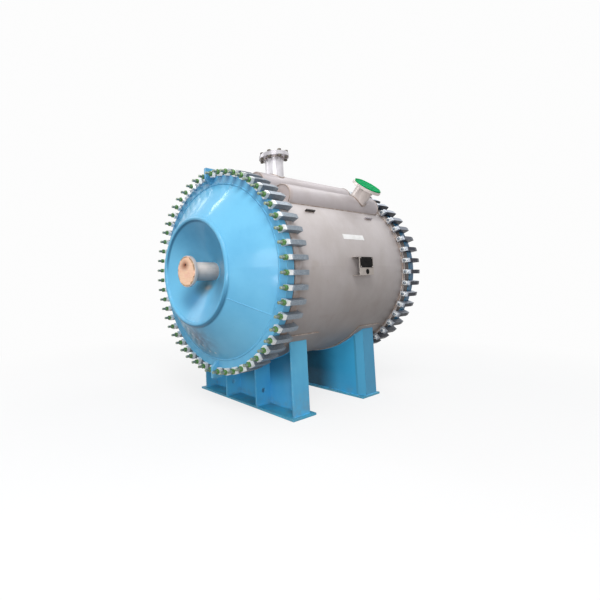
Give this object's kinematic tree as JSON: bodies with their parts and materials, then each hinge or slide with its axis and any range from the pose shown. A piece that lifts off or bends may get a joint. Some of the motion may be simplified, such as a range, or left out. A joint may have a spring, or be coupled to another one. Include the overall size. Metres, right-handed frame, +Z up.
{
  "type": "spiral heat exchanger",
  "caption": "Spiral heat exchanger lying on blue welded saddles, with hook-bolted conical covers at its ends, half-pipe headers along its side and flanged nozzles closed by blanking discs.",
  "frame": {"origin": "on the floor, under the middle of the shell", "axes": "+Z up, Y along the shell with the front cover facing -Y, +X towards the side with the headers and the nameplate"},
  "size_m": [1.8628, 2.45, 2.374],
  "materials": {
    "shell_steel": "matt pickled stainless steel, faintly blotched",
    "header_steel": "matt pickled stainless steel",
    "nozzle_steel": "matt pickled stainless steel",
    "fitting_steel": "matt stainless sheet",
    "cover_paint": "light blue satin paint",
    "saddle_paint": "light blue satin paint",
    "bolt_steel": "galvanised steel, grey-blue",
    "clamp_plating": "bright zinc-plated steel",
    "nut_coating": "olive green coated steel",
    "gasket_rubber": "dark compressed gasket sheet",
    "blank_wood": "plain plywood, pale orange",
    "cap_plastic": "bright green plastic",
    "plate_black": "black anodised plate, bare",
    "tag_plastic": "black plastic",
    "label_film": "white film, bare"
  },
  "bodies": {
    "root": {"shell": "shell_steel", "front_shell_ring": "shell_steel", "rear_shell_ring": "shell_steel", "cover_gaskets": "gasket_rubber", "front_cover_rim": "cover_paint", "front_cover_cone": "cover_paint", "front_cover_recess": "cover_paint", "rear_cover_rim": "cover_paint", "rear_cover_cone": "cover_paint", "rear_cover_recess": "cover_paint", "cover_lugs": "cover_paint", "front_hook_bolts": "bolt_steel", "front_nuts": "nut_coating", "front_clamp_blocks": "clamp_plating", "rear_hook_bolts": "bolt_steel", "rear_nuts": "clamp_plating", "rear_clamp_blocks": "clamp_plating", "front_nozzle_pipe": "nozzle_steel", "front_nozzle_flange": "nozzle_steel", "front_nozzle_blank": "blank_wood", "rear_nozzle_pipe": "nozzle_steel", "rear_nozzle_flange": "nozzle_steel", "rear_nozzle_blank": "blank_wood", "side_header": "header_steel", "top_header": "header_steel", "header_ends": "header_steel", "side_nozzle_pipe": "nozzle_steel", "side_nozzle_flange": "nozzle_steel", "side_nozzle_blank": "cap_plastic", "top_nozzle_pipe": "nozzle_steel", "top_nozzle_flange": "nozzle_steel", "top_nozzle_blank": "nozzle_steel", "top_nozzle_bolts": "bolt_steel", "saddle_bases": "saddle_paint", "front_saddle_web": "saddle_paint", "front_saddle_ribs": "saddle_paint", "rear_saddle_web": "saddle_paint", "rear_saddle_ribs": "saddle_paint", "saddle_end_plates": "saddle_paint", "saddle_pads": "shell_steel", "nameplate_bracket": "fitting_steel", "nameplate": "plate_black", "round_tag": "tag_plastic", "label_strip": "label_film", "small_lugs": "fitting_steel"}
  },
  "joints": []
}
